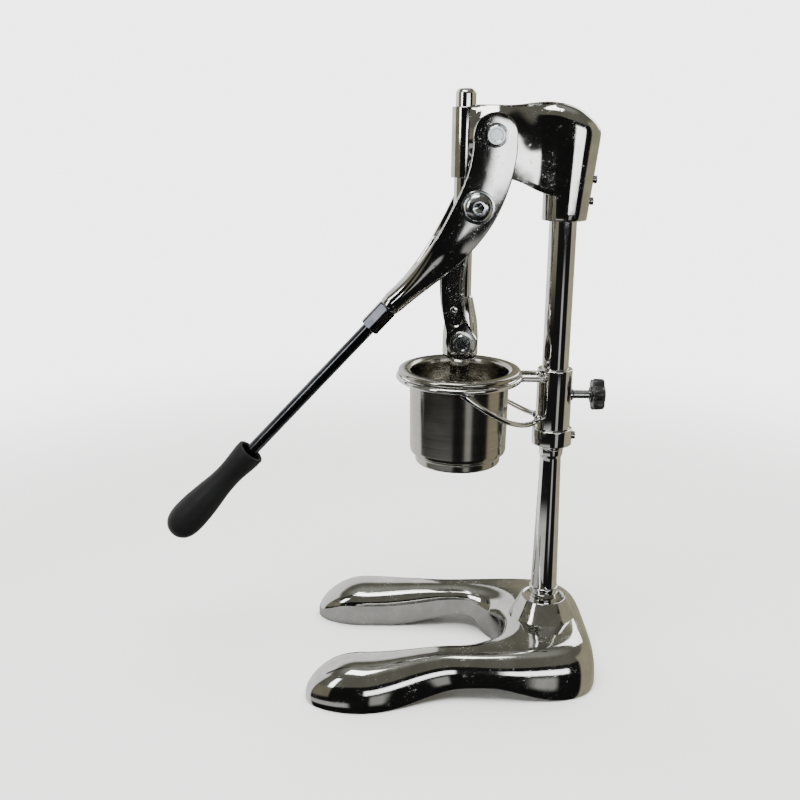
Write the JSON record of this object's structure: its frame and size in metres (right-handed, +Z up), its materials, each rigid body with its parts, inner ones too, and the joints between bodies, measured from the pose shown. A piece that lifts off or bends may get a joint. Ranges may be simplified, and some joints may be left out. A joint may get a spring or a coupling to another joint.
{
  "type": "lever press juicer",
  "caption": "Hand lever press juicer: polished horseshoe stand, forked lever, curved links and a guided rod that drives a plunger into a cup in a wire holder.",
  "frame": {"origin": "on the counter, straight below the axis of the press rod and the cup, where the glass stands", "axes": "+Z up along the press rod, -Y to the front where the lever points, +Y to the column, +X to the right, the side of the pivot bolt heads"},
  "size_m": [0.22, 0.4236, 0.555],
  "materials": {
    "polished_casting": "mirror polished casting",
    "chrome": "bright plated",
    "stainless": "spun and brushed",
    "zinc": "zinc plated",
    "black_grip": "matte",
    "black_knob": "moulded, semi gloss"
  },
  "bodies": {
    "stand": {"base_casting": "polished_casting", "post_bolt": "zinc", "post_washer": "zinc", "lower_post": "chrome", "foot_ring": "chrome", "upper_tube": "chrome", "head_casting": "polished_casting", "head_set_screws": "zinc", "stop_collar": "chrome", "collar_screw": "zinc", "pivot_bolt": "zinc", "pivot_nut": "zinc", "pivot_washers": "zinc", "pivot_shims": "zinc"},
    "lever": {"handle_fork": "polished_casting", "neck_nut": "chrome", "lever_rod": "chrome", "hand_grip": "black_grip", "link_screws": "zinc", "link_screw_washers": "zinc"},
    "plunger": {"press_rod": "chrome", "rod_hub": "chrome", "hub_bolt": "zinc", "hub_nut": "zinc", "hub_washers": "zinc", "plunger_disc": "stainless", "plunger_screw": "zinc"},
    "links": {"link_near": "polished_casting", "link_far": "polished_casting", "link_pins": "zinc"},
    "holder": {"holder_sleeve": "chrome", "holder_ring": "chrome", "holder_arms": "chrome", "holder_braces": "chrome"},
    "knob": {"knob_head": "black_knob", "knob_stud": "zinc"},
    "press_cup": {"cup": "stainless", "strainer_plate": "stainless", "bottom_ring": "stainless"}
  },
  "joints": [
    {"name": "lever_pivot", "type": "hinge", "parent": "stand", "child": "lever", "pos_m": [0, 0.0245, 0.516], "axis": [-1, 0, 0], "range_deg": [0, 100]},
    {"name": "rod_slide", "type": "slide", "parent": "stand", "child": "plunger", "axis": [0, 0, 1], "range_m": [0, 0.0891]},
    {"name": "link_swing", "type": "hinge", "parent": "plunger", "child": "links", "pos_m": [0, 0, 0.33197], "axis": [1, 0, 0], "range_deg": [0, 20.75]},
    {"name": "holder_slide", "type": "slide", "parent": "stand", "child": "holder", "axis": [0, 0, 1], "range_m": [0, 0.015]},
    {"name": "cup_lift", "type": "slide", "parent": "holder", "child": "press_cup", "axis": [0, 0, 1], "range_m": [0, 0.015]},
    {"name": "knob_turn", "type": "hinge", "parent": "holder", "child": "knob", "pos_m": [0, 0.11, 0.2783], "axis": [0, 1, 0], "continuous": true}
  ],
  "couplings": [
    {"joint": "rod_slide", "follows": "lever_pivot", "m_per_rad": 0.050997},
    {"joint": "link_swing", "follows": "lever_pivot", "ratio": 0.20711}
  ]
}
